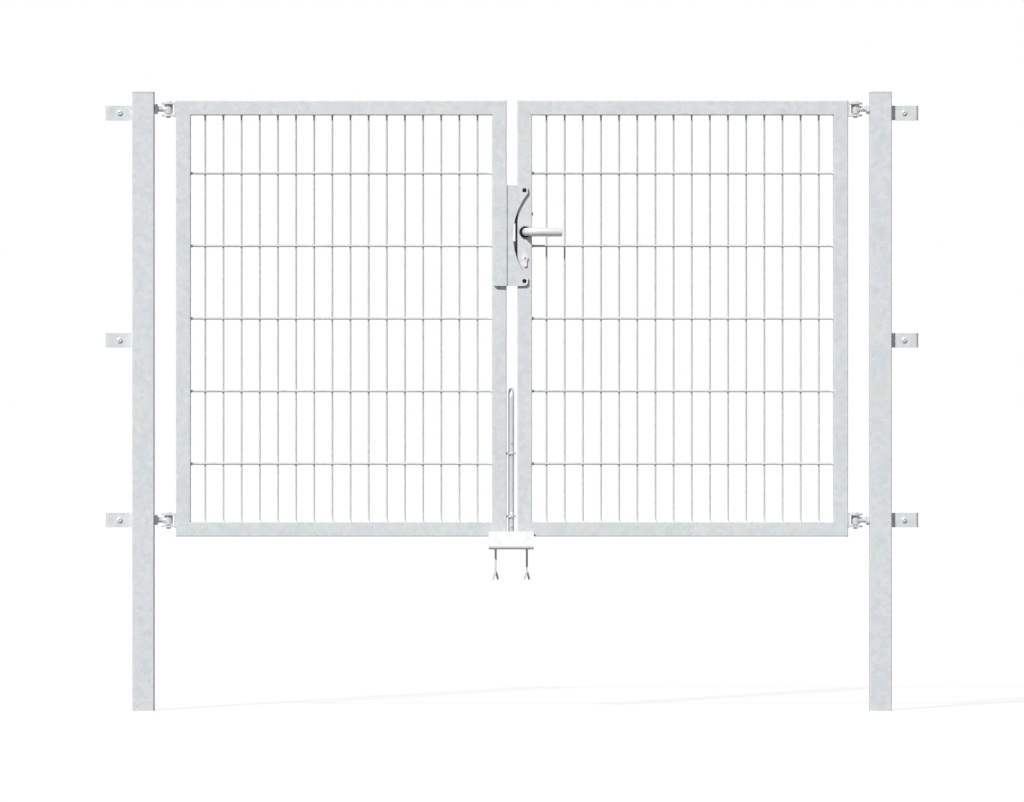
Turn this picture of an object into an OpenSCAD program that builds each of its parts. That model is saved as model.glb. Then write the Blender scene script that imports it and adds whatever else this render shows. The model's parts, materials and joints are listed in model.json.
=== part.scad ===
// Double garden gate with wire mesh leaves on two square posts, in millimetres.
// The origin is the centre of the left post's foot. X runs along the gate to
// the right, Y runs to the back and Z runs up. Both leaves open to the back.

/* [Opening and ground] */
// Clear width between the two posts
opening_w = 1970; // [1700:10:2200]
// Gap between the two closed leaves
leaf_gap = 30; // [28:1:34]
// Gap between a post and its leaf
side_gap = 60; // [58:1:70]
// Height of the ground above a post's foot
ground_h = 450; // [350:10:600]
// Gap under the leaves
leaf_lift = 30; // [25:1:45]

/* [Posts] */
// Side of a square post
post_side = 60; // [56:1:80]
// Wall of a post
post_wall = 2; // [1.5:0.5:4]
// Outer corner radius of a post
post_corner = 3; // [2:0.5:6]
// Height of a post above the top of its leaf
post_rise = 20; // [10:1:60]
// Thickness of a post cap's lid
cap_t = 5; // [3:1:8]
// Depth of a cap's plug in the post
cap_plug = 18; // [10:1:30]
// Wall of a cap's plug
cap_wall = 2; // [1.5:0.5:4]

/* [Leaves] */
// Height of a leaf
leaf_h = 1200; // [1000:10:1600]
// Side of the frame's square tube
tube_side = 40; // [36:1:50]
// Wall of the frame's tube
tube_wall = 2; // [1.5:0.5:3]
// Outer corner radius of the frame's tube
tube_corner = 2.5; // [2.5:0.5:5]
// Diameter of an upright wire
wire_d = 5; // [4:0.5:6]
// Spacing of the upright wires
wire_pitch = 50; // [45:5:60]
// Diameter of a cross rod
rod_d = 6; // [5:0.5:8]
// Spacing of the pairs of cross rods
rod_pitch = 200; // [180:5:220]
// How far a rod and a wire are welded into each other
weld_sink = 0.4; // [0.2:0.1:0.8]

/* [Hinges] */
// Distance from the post's face to the hinge axis
hinge_reach = 39; // [37:1:42]
// Distance of the top hinge below the top of the leaf
hinge_drop = 24; // [22:1:60]
// Distance of the low hinge above the underside of the leaf
hinge_rise = 44; // [30:1:90]
// Diameter of the eye bolt's shank
shank_d = 16; // [12:1:18]
// Length of the shank inside the post
shank_in = 22; // [18:1:26]
// Outer diameter of the eye
eye_d = 23; // [22:1:26]
// Height of the eye
eye_h = 25; // [20:1:27]
// Diameter of the hinge pin
pin_d = 12; // [10:0.5:14]
// Radial clearance of the pin in the eye and the clevis
pin_play = 0.1; // [0.05:0.01:0.1]
// Diameter of the pin's head
pin_head_d = 17; // [16:1:22]
// Height of the pin's head
pin_head_h = 3.5; // [2:0.5:5]
// Length of the pin below the clevis
pin_tail = 4; // [3:0.5:8]
// Gap between the clevis's two cheeks
clevis_gap = 28; // [28:1:32]
// Thickness of the clevis's sheet
clevis_t = 5; // [4:0.5:6]
// Depth of the clevis from front to back
clevis_w = 38; // [34:1:40]
// Clearance between the eye and the cheek that rests on it
seat_play = 0.3; // [0.2:0.05:0.5]
// Width of a hinge nut across its flats
nut_flats = 24; // [22:1:27]
// Thickness of the lock nut outside the post
nut_t = 10; // [6:1:12]
// Clearance round a shank in the post's wall
hole_play = 0.5; // [0.3:0.1:1]

/* [Fence lugs] */
// Length of a lug from the post
lug_len = 74; // [70:1:90]
// Height of a lug
lug_h = 40; // [30:1:60]
// Thickness of a lug
lug_t = 5; // [4:0.5:6]
// Distance of a lug's front behind the post's front
lug_setback = 20; // [16:1:26]
// Inner radius of a lug's bent end
lug_bend = 3; // [2:0.5:4]
// Gap for the fence mesh behind a lug
lug_slot = 8; // [6:1:12]
// Distance of the upper lug below the post's top
lug_drop_1 = 54; // [40:1:120]
// Distance of the middle lug below the post's top
lug_drop_2 = 680; // [500:1:800]
// Distance of the low lug below the post's top
lug_drop_3 = 1175; // [1000:1:1200]
// Distance of a clamp screw from the post's face
screw_reach = 35; // [32:1:40]
// Diameter of a clamp screw
screw_d = 8; // [6:1:10]
// Diameter of a clamp screw's head
screw_head_d = 16; // [14:0.5:18]
// Height of a clamp screw's head
screw_head_h = 4.5; // [3:0.5:6]
// Width of the hexagon socket in a clamp screw
screw_socket = 5; // [4:1:6]
// Thickness of the clamp plate behind the mesh
clamp_t = 4; // [3:0.5:6]
// Distance of a clamp plate from the post's face
clamp_reach = 12; // [8:1:16]
// Width of a clamp nut across its flats
clamp_nut_flats = 13; // [11:1:17]
// Thickness of a clamp nut
clamp_nut_t = 6.5; // [5:0.5:9]

/* [Stop plate] */
// Height of the stop plate
stop_h = 277; // [260:1:300]
// Distance of the stop plate's middle below the handle
stop_drop = 10; // [0:1:20]
// Thickness of the stop plate
stop_t = 3; // [2:0.5:4]
// Width of the raised part over the left stile
hood_w = 39; // [36:1:40]
// Depth of the raised part in front of the stile
hood_depth = 12; // [11:0.5:20]
// Gap between the ears and the right stile
ear_gap = 5; // [4:0.5:8]
// How far the ears reach over the right stile
ear_reach = 29; // [26:1:32]
// Corner radius of the stop plate
stop_corner = 11; // [8:0.5:12]
// Radius of the hollow between the ears
hollow_r = 187; // [180:1:200]
// Width of the sheet left in the gap at the middle of the hollow
waist_w = 18; // [16:1:20]
// Distance of a buffer from the stop plate's middle
buffer_rise = 125; // [118:1:126]
// Distance of a buffer from the ear's free edge
buffer_inset = 10; // [8:0.5:12]
// Diameter of a buffer's button
buffer_button_d = 11.6; // [10:0.2:13]
// Height of a buffer's button
buffer_button_h = 1.2; // [0.8:0.2:3]
// Diameter of a buffer's stem
buffer_stem_d = 7; // [5:0.5:8]
// Diameter of a buffer's pad
buffer_pad_d = 14; // [12:0.5:16]

/* [Lock and handle] */
// Height of the handle above the underside of the leaf
handle_rise = 838; // [780:1:860]
// Distance of the handle from the lock stile's edge
backset = 21; // [20:0.5:22]
// Distance of the lock cylinder below the handle
cylinder_drop = 72; // [60:1:85]
// Height of the lock's face plate
forend_h = 220; // [210:1:250]
// Thickness of the lock's face plate
forend_t = 6; // [3:0.5:6]
// Width of the lock's face plate
forend_w = 24; // [20:1:30]
// Corner radius of the lock's face plate
forend_corner = 4; // [2:0.5:8]
// How far the latch and the dead bolt stand out
latch_out = 10; // [6:1:12]
// Distance of the latch above the handle
latch_rise = 36; // [34:1:40]
// Height of the latch
latch_h = 24; // [20:1:26]
// Distance of the dead bolt below the handle
deadbolt_drop = 40; // [38:1:46]
// Height of the dead bolt
deadbolt_h = 30; // [24:1:34]
// Thickness of the latch and the dead bolt
latch_t = 12; // [10:1:14]
// Length of the latch behind the face plate
latch_in = 14; // [8:1:20]
// Clearance round the latch, the dead bolt and the cylinder
lock_play = 0.3; // [0.2:0.1:0.6]
// Diameter of the cylinder's round part
cylinder_d = 17; // [16:0.5:18]
// Width of the cylinder's stem
cylinder_stem = 10; // [9:0.5:11]
// Height of the cylinder
cylinder_h = 33; // [31:0.5:34]
// How far the cylinder stands out of the stile
cylinder_out = 5; // [3:0.5:8]
// Diameter of a handle rose
rose_d = 32; // [30:0.5:38]
// Thickness of a handle rose
rose_t = 8; // [6:0.5:10]
// Diameter of the handle's collar in the rose
neck_d = 16; // [14:0.5:18]
// Radial clearance of the collar in the rose
neck_play = 0.1; // [0.05:0.01:0.1]
// Diameter of a handle's grip
grip_d = 21.5; // [19:0.5:24]
// Sideways offset of the grip's bent end from the handle's axis
grip_shift = 2.5; // [0:0.1:2.6]
// Radius of the grip's bend along the middle of the rod
grip_bend = 36; // [20:1:38]
// Distance from the handle's axis to the end of its grip
grip_len = 102.5; // [90:0.5:130]
// Distance from the stile's face to the middle of the grip
grip_reach = 48; // [42:1:60]
// Side of the square spindle
spindle_side = 8; // [7:1:10]

/* [Drop bolt] */
// Diameter of the drop bolt
bolt_d = 16; // [14:1:18]
// Distance of the drop bolt's axis from the left stile
bolt_reach = 13; // [13:0.5:15]
// Height of the bolt's tip above the ground
bolt_tip_lift = 6; // [5:1:10]
// Height of the bolt's elbow above the ground
bolt_top_rise = 439; // [380:1:600]
// Radius of the elbow along the middle of the rod
bolt_bend = 20; // [16:1:30]
// Length of the handle behind the elbow
bolt_grip = 45; // [30:1:60]
// Height of the upper guide above the ground
guide_rise_1 = 258.5; // [220:0.5:300]
// Height of the low guide above the ground
guide_rise_2 = 85; // [80:0.5:100]
// Thickness of a guide
guide_t = 5; // [4:0.5:8]
// Wall of a guide round the bolt
guide_wall = 3.6; // [3:0.1:3.8]
// Radial clearance of the bolt in its guides
guide_play = 0.4; // [0.2:0.1:0.6]
// Diameter of the stop pins through the bolt
stop_pin_d = 5; // [4:0.5:6]
// How far a stop pin stands out of the bolt
stop_pin_out = 3; // [2:0.5:4]
// Travel of the bolt below its parked place
bolt_drop_travel = 24; // [20:1:26]
// Travel of the bolt above its parked place
bolt_lift_travel = 22; // [16:1:24]
// Diameter of the padlock hole through the bolt
padlock_hole = 7; // [5:0.5:8]
// Clearance kept between a stop pin and its guide
stop_pin_play = 0.5; // [0.3:0.1:1]

/* [Ground stop] */
// Width of the ground stop
base_w = 124; // [110:1:128]
// Depth of the base behind the leaves' middle
base_back = 30; // [25:1:50]
// Thickness of the ground stop's plate
base_t = 5; // [4:0.5:7]
// Lean of the lip towards the leaves, in degrees
lip_lean = 38; // [0:1:45]
// Height of the lip above the ground
lip_h = 44; // [38:1:60]
// Gap between the lip and the leaves
lip_gap = 5; // [5:0.5:10]
// Corner radius of the lip
lip_corner = 4; // [3:0.5:10]
// Outer radius of the bend between the base and the lip
lip_bend = 8; // [8:0.5:12]
// Diameter of the hole for the drop bolt
socket_d = 22; // [20:0.5:26]
// Distance between the two anchor legs
anchor_pitch = 86; // [70:1:100]
// Thickness of an anchor leg
anchor_t = 6; // [4:0.5:8]
// Depth of an anchor leg from front to back
anchor_w = 25; // [20:1:30]
// Distance of the anchor legs' middle behind the leaves' middle
anchor_set = 12; // [0:1:14]
// Length of an anchor leg
anchor_len = 85; // [60:1:120]
// Length of the split end of an anchor leg
tail_len = 25; // [15:1:40]
// How far the split ends spread sideways
tail_spread = 7; // [4:0.5:12]

/* [Hidden] */
$fn = 48;

// How far a cut runs past the face it starts from
cut = 1;
// How far shapes that form one solid run into each other
overlap = 0.5;
// Smallest inner corner radius of a tube
least_corner = 0.5;

// Places along the gate
post_half = post_side / 2;
tube_half = tube_side / 2;
leaf_w = (opening_w - 2 * side_gap - leaf_gap) / 2;
leaf_x = post_half + side_gap;
leaf_end_x = leaf_x + leaf_w;
mid_x = post_half + opening_w / 2;
hinge_x = post_half + hinge_reach;
lock_edge_x = leaf_end_x + leaf_gap;

// Heights
leaf_z = ground_h + leaf_lift;
leaf_top_z = leaf_z + leaf_h;
post_len = leaf_top_z + post_rise;
hinge_zs = [leaf_top_z - hinge_drop, leaf_z + hinge_rise];
lug_zs = [post_len - lug_drop_1, post_len - lug_drop_2, post_len - lug_drop_3];
handle_z = leaf_z + handle_rise;
stop_z = handle_z - stop_drop;
handle_x = lock_edge_x + backset;

// Mesh
mesh_w = leaf_w - 2 * tube_side;
mesh_h = leaf_h - 2 * tube_side;
wire_count = floor(mesh_w / wire_pitch);
wire_margin = (mesh_w - (wire_count - 1) * wire_pitch) / 2;
rod_count = floor(mesh_h / rod_pitch);
rod_margin = (mesh_h - (rod_count - 1) * rod_pitch) / 2;
rod_y = (wire_d + rod_d) / 2 - weld_sink;
wire_sides = 8;
flat_turn = 180 / wire_sides;

// Hinges
eye_z_shift = (clevis_gap - eye_h) / 2 - seat_play;
clevis_half = clevis_gap / 2;
clevis_back = side_gap - hinge_reach;
pin_chamfer = 1;
shank_past_nut = 1;
nut_in_t = shank_in - post_wall - shank_past_nut;

// Fence lugs
lug_y = -post_half + lug_setback;
slot_y = lug_y + lug_t;
clamp_y = slot_y + lug_slot;
lug_end = post_half + lug_len;
screw_x = post_half + screw_reach;
clamp_start = post_half + clamp_reach;
screw_past_nut = 3;
socket_depth = 2;
head_dome_d = screw_head_d + 1;

// Stop plate
hood_x = leaf_end_x - hood_w;
hood_front = -tube_half - hood_depth;
ear_back = -tube_half - ear_gap;
ear_end_x = lock_edge_x + ear_reach;
hollow_x = leaf_end_x + waist_w + hollow_r;
leg_margin = 3;
leg_back = forend_w / 2 + leg_margin;
fold_r = 1;
window_w = latch_t + 4;
window_margin_z = 3;
buffer_x = ear_end_x - buffer_inset;

// Ground stop and drop bolt
bolt_x = leaf_end_x + bolt_reach;
bolt_tip_z = ground_h + bolt_tip_lift;
bolt_bend_z = ground_h + bolt_top_rise - bolt_d / 2 - bolt_bend;
guide_zs = [ground_h + guide_rise_1, ground_h + guide_rise_2];
guide_r = bolt_d / 2 + guide_play + guide_wall;
drop_pin_z = guide_zs[0] + (guide_t + stop_pin_d) / 2 + stop_pin_play + bolt_drop_travel;
lift_pin_z = guide_zs[1] - (guide_t + stop_pin_d) / 2 - stop_pin_play - bolt_lift_travel;
padlock_gap = 3;
padlock_z = guide_zs[1] + (guide_t + padlock_hole) / 2 + padlock_gap;
bolt_chamfer = 2;
lip_back = -tube_half - lip_gap;

// Lock and handle
neck_gap = 0.5;
spindle_hole_d = spindle_side * sqrt(2) + 2;
keyway_w = 2.4;
keyway_h = 8;
keyway_depth = 1.5;
keyway_drop = 1;

// Rectangle round its middle with rounded corners
module rounded_rect(w, h, r) {
    square([w - 2 * r, h], center = true);
    square([w, h - 2 * r], center = true);
    for (sx = [-1, 1], sy = [-1, 1])
        translate([sx * (w / 2 - r), sy * (h / 2 - r)]) circle(r);
}

// Cross-section of a square tube
module tube_section(side, wall, corner) {
    difference() {
        rounded_rect(side, side, corner);
        rounded_rect(side - 2 * wall, side - 2 * wall, max(corner - wall, least_corner));
    }
}

// Right-hand copy of a left-hand piece
module right_hand() {
    translate([2 * mid_x, 0, 0]) mirror([1, 0, 0]) children();
}

// Shape in the XZ plane, given thickness from y1 back to y2
module facing_front(y1, y2) {
    translate([0, y2, 0]) rotate([90, 0, 0]) linear_extrude(y2 - y1) children();
}

// Rod along Y from y1 to y2
module rod_along_y(x, z, d, y1, y2) {
    translate([x, y1, z]) rotate([-90, 0, 0]) cylinder(d = d, h = y2 - y1);
}

// Hexagonal prism along X
module hex_x(flats, len) {
    rotate([0, 90, 0]) cylinder(d = flats / cos(30), h = len, $fn = 6);
}

// Post with its two hinge holes, open at the foot
module post() {
    difference() {
        linear_extrude(post_len) tube_section(post_side, post_wall, post_corner);
        for (z = hinge_zs)
            translate([0, 0, z + eye_z_shift]) rotate([0, 90, 0])
                cylinder(d = shank_d + 2 * hole_play, h = post_side);
    }
}

module left_post() {
    color([0.84, 0.86, 0.87]) post();
}

module right_post() {
    color([0.84, 0.86, 0.87]) right_hand() post();
}

// Flat lid with a hollow plug that sits in the post
module post_cap() {
    plug = post_side - 2 * post_wall;
    translate([0, 0, post_len])
        linear_extrude(cap_t) rounded_rect(post_side, post_side, post_corner);
    translate([0, 0, post_len - cap_plug])
        linear_extrude(cap_plug + overlap)
            tube_section(plug, cap_wall, max(post_corner - post_wall, least_corner));
}

module left_post_cap() {
    color([0.75, 0.76, 0.77]) post_cap();
}

module right_post_cap() {
    color([0.75, 0.76, 0.77]) right_hand() post_cap();
}

// Eye bolt: a shank from inside the post to an upright eye
module eye_bolt(z) {
    translate([hinge_x, 0, z + eye_z_shift])
        difference() {
            union() {
                cylinder(d = eye_d, h = eye_h, center = true);
                translate([-hinge_reach - shank_in, 0, 0]) rotate([0, 90, 0])
                    cylinder(d = shank_d, h = hinge_reach + shank_in);
            }
            cylinder(d = pin_d + 2 * pin_play, h = 2 * eye_h, center = true);
        }
}

module top_left_eye_bolt() {
    color([0.78, 0.79, 0.80]) eye_bolt(hinge_zs[0]);
}

module low_left_eye_bolt() {
    color([0.78, 0.79, 0.80]) eye_bolt(hinge_zs[1]);
}

module top_right_eye_bolt() {
    color([0.78, 0.79, 0.80]) right_hand() eye_bolt(hinge_zs[0]);
}

module low_right_eye_bolt() {
    color([0.78, 0.79, 0.80]) right_hand() eye_bolt(hinge_zs[1]);
}

// Lock nut outside the post and welded nut inside it, at each hinge
module hinge_nuts() {
    for (z = hinge_zs)
        translate([0, 0, z + eye_z_shift])
            difference() {
                union() {
                    translate([post_half, 0, 0]) hex_x(nut_flats, nut_t);
                    translate([post_half - post_wall - nut_in_t, 0, 0]) hex_x(nut_flats, nut_in_t);
                }
                rotate([0, 90, 0]) cylinder(d = shank_d + 2 * pin_play, h = post_side);
            }
}

module left_hinge_nuts() {
    color([0.74, 0.75, 0.76]) hinge_nuts();
}

module right_hinge_nuts() {
    color([0.74, 0.75, 0.76]) right_hand() hinge_nuts();
}

// Plan of a fence lug: a flat strap whose outer end is bent to the back
module lug_plan() {
    bend = lug_bend + lug_t;
    translate([-lug_end + bend, lug_y]) square([lug_len - bend, lug_t]);
    translate([-lug_end + bend, lug_y + bend])
        intersection() {
            difference() {
                circle(bend);
                circle(lug_bend);
            }
            translate([-bend, -bend]) square(bend);
        }
    translate([-lug_end, lug_y + bend]) square([lug_t, clamp_y - lug_y - bend]);
}

module fence_lugs() {
    difference() {
        for (z = lug_zs)
            translate([0, 0, z - lug_h / 2]) linear_extrude(lug_h) lug_plan();
        for (z = lug_zs)
            rod_along_y(-screw_x, z, screw_d + 2 * pin_play, lug_y - cut, slot_y + cut);
    }
}

module left_fence_lugs() {
    color([0.84, 0.86, 0.87]) fence_lugs();
}

module right_fence_lugs() {
    color([0.84, 0.86, 0.87]) right_hand() fence_lugs();
}

// Plates behind the mesh, that rest on the lugs' bent ends
module clamp_plates() {
    for (z = lug_zs)
        difference() {
            translate([-lug_end, clamp_y, z - lug_h / 2])
                cube([lug_end - clamp_start, clamp_t, lug_h]);
            rod_along_y(-screw_x, z, screw_d + 2 * pin_play, clamp_y - cut, clamp_y + clamp_t + cut);
        }
}

module left_clamp_plates() {
    color([0.82, 0.83, 0.84]) clamp_plates();
}

module right_clamp_plates() {
    color([0.82, 0.83, 0.84]) right_hand() clamp_plates();
}

// Round-headed screws with a hexagon socket, each with its nut at the back
module clamp_screws() {
    nut_y = clamp_y + clamp_t;
    for (z = lug_zs) {
        difference() {
            union() {
                intersection() {
                    rod_along_y(-screw_x, z, screw_head_d, lug_y - screw_head_h, lug_y);
                    translate([-screw_x, lug_y - screw_head_h + head_dome_d / 2, z])
                        sphere(d = head_dome_d);
                }
                rod_along_y(-screw_x, z, screw_d, lug_y - overlap, nut_y + clamp_nut_t + screw_past_nut);
            }
            translate([-screw_x, lug_y - screw_head_h - cut, z]) rotate([-90, 0, 0])
                cylinder(d = screw_socket / cos(30), h = socket_depth + cut, $fn = 6);
        }
        translate([-screw_x, nut_y, z]) rotate([-90, 0, 0])
            difference() {
                cylinder(d = clamp_nut_flats / cos(30), h = clamp_nut_t, $fn = 6);
                translate([0, 0, -cut])
                    cylinder(d = screw_d + 2 * pin_play, h = clamp_nut_t + 2 * cut);
            }
    }
}

module left_clamp_screws() {
    color([0.80, 0.80, 0.81]) clamp_screws();
}

module right_clamp_screws() {
    color([0.80, 0.80, 0.81]) right_hand() clamp_screws();
}

// Area on the inner side of the ground stop's bend, bounded at a distance r from the bend's centre
module inside_bend(r) {
    far = 4 * lip_h;
    circle(r);
    intersection() {
        rotate(-lip_lean) translate([-r, 0]) square(far);
        translate([-far, -r]) square(2 * far);
    }
    intersection() {
        rotate(-lip_lean) translate([-r, -far]) square(2 * far);
        translate([0, -r]) square(far);
    }
}

// Side view of the ground stop's bent plate, with its leaning lip in front
module ground_stop_side() {
    inner_r = lip_bend - base_t;
    bend_z = ground_h - base_t + lip_bend;
    rise = (ground_h + lip_h - bend_z - inner_r * sin(lip_lean)) / cos(lip_lean);
    bend_y = lip_back + inner_r * cos(lip_lean) - rise * sin(lip_lean);
    intersection() {
        translate([bend_y, bend_z])
            difference() {
                inside_bend(lip_bend);
                inside_bend(inner_r);
            }
        translate([lip_back - 2 * lip_h, ground_h - lip_h])
            square([base_back - lip_back + 2 * lip_h, 2 * lip_h]);
    }
}

// Bent plate on the ground: a base with the bolt's hole and a leaning lip that stops the leaves
module ground_stop() {
    color([0.90, 0.91, 0.91])
        difference() {
            intersection() {
                translate([bolt_x - base_w / 2, 0, 0]) rotate([90, 0, 90])
                    linear_extrude(base_w) ground_stop_side();
                facing_front(lip_back - 2 * lip_h, base_back + cut)
                    translate([bolt_x, ground_h]) rounded_rect(base_w, 2 * lip_h, lip_corner);
            }
            translate([bolt_x, 0, ground_h - 2 * base_t]) cylinder(d = socket_d, h = 4 * base_t);
        }
}

// Side of one anchor tail that bends to the side s
module tail(s) {
    polygon([
        [-anchor_t / 2, 0], [anchor_t / 2, 0],
        [anchor_t / 2 + s * tail_spread, -tail_len],
        [-anchor_t / 2 + s * tail_spread, -tail_len]
    ]);
}

// Two flat legs with split ends, that are cast into the ground
module ground_anchors() {
    leg_top = ground_h - base_t;
    leg_low = leg_top - anchor_len + tail_len;
    color([0.80, 0.81, 0.82])
        for (s = [-1, 1])
            translate([bolt_x + s * anchor_pitch / 2, anchor_set, 0]) {
                translate([-anchor_t / 2, -anchor_w / 2, leg_low])
                    cube([anchor_t, anchor_w, leg_top - leg_low]);
                translate([0, 0, leg_low]) {
                    facing_front(-anchor_w / 2, 0) tail(-1);
                    facing_front(0, anchor_w / 2) tail(1);
                }
            }
}

// Outline of one mitred frame side along U, seen from the front
module mitred_side(len) {
    polygon([[0, 0], [len, 0], [len - tube_side, tube_side], [tube_side, tube_side]]);
}

// Frame tube along X with mitred ends, on the leaf's underside
module frame_tube(len) {
    intersection() {
        translate([0, 0, tube_half]) rotate([0, 90, 0])
            linear_extrude(len) tube_section(tube_side, tube_wall, tube_corner);
        facing_front(-tube_side, tube_side) mitred_side(len);
    }
}

// Upright frame tube at the leaf's left edge
module stile() {
    mirror([1, 0, 0]) rotate([0, -90, 0]) frame_tube(leaf_h);
}

module at_leaf() {
    translate([leaf_x, 0, leaf_z]) children();
}

module hinge_stile() {
    at_leaf() stile();
}

module lock_stile() {
    at_leaf() translate([leaf_w, 0, 0]) mirror([1, 0, 0]) stile();
}

module bottom_rail() {
    at_leaf() frame_tube(leaf_w);
}

module top_rail() {
    at_leaf() translate([0, 0, leaf_h]) mirror([0, 0, 1]) frame_tube(leaf_w);
}

module left_hinge_stile() {
    color([0.86, 0.87, 0.88]) hinge_stile();
}

module left_top_rail() {
    color([0.86, 0.87, 0.88]) top_rail();
}

module left_bottom_rail() {
    color([0.86, 0.87, 0.88]) bottom_rail();
}

// Left lock stile with the two windows behind the strike
module left_lock_stile() {
    color([0.86, 0.87, 0.88])
        difference() {
            lock_stile();
            strike_windows(leaf_end_x - tube_wall - cut, leaf_end_x + cut);
        }
}

module right_hinge_stile() {
    color([0.86, 0.87, 0.88]) right_hand() hinge_stile();
}

module right_top_rail() {
    color([0.86, 0.87, 0.88]) right_hand() top_rail();
}

module right_bottom_rail() {
    color([0.86, 0.87, 0.88]) right_hand() bottom_rail();
}

// Right lock stile with the cut-outs for the lock, the cylinder and the spindle
module right_lock_stile() {
    color([0.86, 0.87, 0.88])
        difference() {
            right_hand() lock_stile();
            latch_blocks(lock_edge_x - cut, lock_edge_x + tube_wall + cut, lock_play);
            facing_front(-tube_side, tube_side)
                translate([handle_x, handle_z - cylinder_drop]) cylinder_outline(lock_play);
            rod_along_y(handle_x, handle_z, spindle_hole_d, -tube_side, tube_side);
        }
}

// Upright wires between pairs of cross rods, welded where they cross
module mesh() {
    at_leaf() translate([tube_side, 0, tube_side]) {
        for (i = [0 : wire_count - 1])
            translate([wire_margin + i * wire_pitch, 0, 0]) rotate(flat_turn)
                cylinder(d = wire_d / cos(flat_turn), h = mesh_h, $fn = wire_sides);
        for (j = [0 : rod_count - 1], s = [-1, 1])
            translate([0, s * rod_y, rod_margin + j * rod_pitch]) rotate([0, 90, 0])
                rotate(flat_turn)
                    cylinder(d = rod_d / cos(flat_turn), h = mesh_w, $fn = wire_sides);
    }
}

module left_mesh() {
    color([0.76, 0.77, 0.78]) mesh();
}

module right_mesh() {
    color([0.76, 0.77, 0.78]) right_hand() mesh();
}

// Plan of a clevis cheek, round about the hinge axis
module cheek_plan() {
    difference() {
        union() {
            circle(d = clevis_w);
            translate([0, -clevis_w / 2]) square([clevis_back, clevis_w]);
        }
        circle(d = pin_d + 2 * pin_play);
    }
}

// Bent clevis that is welded to the hinge stile
module clevis(z) {
    translate([hinge_x, 0, z]) {
        for (low = [clevis_half, -clevis_half - clevis_t])
            translate([0, 0, low]) linear_extrude(clevis_t) cheek_plan();
        translate([clevis_back - clevis_t, -clevis_w / 2, -clevis_half])
            cube([clevis_t, clevis_w, clevis_gap]);
    }
}

module top_left_clevis() {
    color([0.80, 0.81, 0.82]) clevis(hinge_zs[0]);
}

module low_left_clevis() {
    color([0.80, 0.81, 0.82]) clevis(hinge_zs[1]);
}

module top_right_clevis() {
    color([0.80, 0.81, 0.82]) right_hand() clevis(hinge_zs[0]);
}

module low_right_clevis() {
    color([0.80, 0.81, 0.82]) right_hand() clevis(hinge_zs[1]);
}

// Headed pins through the clevises and the eyes
module hinge_pins() {
    shank = clevis_gap + 2 * clevis_t + pin_tail;
    for (z = hinge_zs)
        translate([hinge_x, 0, z + clevis_half + clevis_t]) {
            cylinder(d = pin_head_d, h = pin_head_h);
            translate([0, 0, pin_chamfer - shank]) cylinder(d = pin_d, h = shank);
            translate([0, 0, -shank])
                cylinder(d1 = pin_d - 2 * pin_chamfer, d2 = pin_d, h = pin_chamfer);
        }
}

module left_hinge_pins() {
    color([0.70, 0.71, 0.72]) hinge_pins();
}

module right_hinge_pins() {
    color([0.70, 0.71, 0.72]) right_hand() hinge_pins();
}

// Plan of the stop plate: a hood in front of the left stile, a leg down its side and a flange
module stop_plan() {
    bend = stop_t + fold_r;
    hood_len = leaf_end_x + stop_t - hood_x;
    intersection() {
        translate([hood_x + hood_len / 2, hood_front + tube_half])
            rounded_rect(hood_len, 2 * tube_half, bend);
        union() {
            translate([hood_x, hood_front]) square([hood_len, stop_t]);
            translate([hood_x, hood_front]) square([stop_t, hood_depth]);
            translate([leaf_end_x, hood_front]) square([stop_t, hood_depth]);
        }
    }
    translate([leaf_end_x, -tube_half]) square([stop_t, tube_half + leg_back]);
    translate([leaf_end_x, ear_back - stop_t]) square([ear_end_x - leaf_end_x, stop_t]);
}

// Front outline of the stop plate, with the round hollow between its ears
module stop_outline() {
    difference() {
        translate([(hood_x + ear_end_x) / 2, stop_z])
            rounded_rect(ear_end_x - hood_x, stop_h, stop_corner);
        translate([hollow_x, stop_z]) circle(hollow_r, $fn = 96);
    }
}

// Boxes of the strike's windows, from x1 to x2
module strike_windows(x1, x2) {
    translate([x1, 0, handle_z]) {
        translate([0, -window_w / 2, latch_rise - latch_h / 2 - window_margin_z])
            cube([x2 - x1, window_w, latch_h + 2 * window_margin_z]);
        translate([0, -window_w / 2, -deadbolt_drop - deadbolt_h / 2 - window_margin_z])
            cube([x2 - x1, window_w, deadbolt_h + 2 * window_margin_z]);
    }
}

// Folded plate on the left leaf that stops the right leaf and takes its latch
module stop_plate() {
    color([0.88, 0.89, 0.90])
        difference() {
            intersection() {
                translate([0, 0, stop_z - stop_h / 2]) linear_extrude(stop_h) stop_plan();
                facing_front(-post_side, post_side) stop_outline();
            }
            strike_windows(leaf_end_x - cut, leaf_end_x + stop_t + cut);
            for (s = [-1, 1])
                rod_along_y(buffer_x, stop_z + s * buffer_rise, buffer_stem_d + 2 * pin_play,
                      ear_back - 2 * stop_t, ear_back + cut);
        }
}

// Rubber buffers: a button in front of each ear, a stem through it and a pad behind it
module stop_buffers() {
    color([0.10, 0.10, 0.10])
        for (s = [-1, 1]) {
            z = stop_z + s * buffer_rise;
            ear_front = ear_back - stop_t;
            rod_along_y(buffer_x, z, buffer_button_d, ear_front - buffer_button_h, ear_front);
            rod_along_y(buffer_x, z, buffer_stem_d, ear_front - overlap, ear_back + overlap);
            rod_along_y(buffer_x, z, buffer_pad_d, ear_back, -tube_half - seat_play);
        }
}

// Two guides on the left stile's side, each with a round end
module bolt_guides() {
    color([0.80, 0.81, 0.82])
        for (z = guide_zs)
            translate([bolt_x, 0, z - guide_t / 2])
                linear_extrude(guide_t)
                    difference() {
                        union() {
                            circle(guide_r);
                            translate([-bolt_reach, -guide_r]) square([bolt_reach, 2 * guide_r]);
                        }
                        circle(d = bolt_d + 2 * guide_play);
                    }
}

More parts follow.
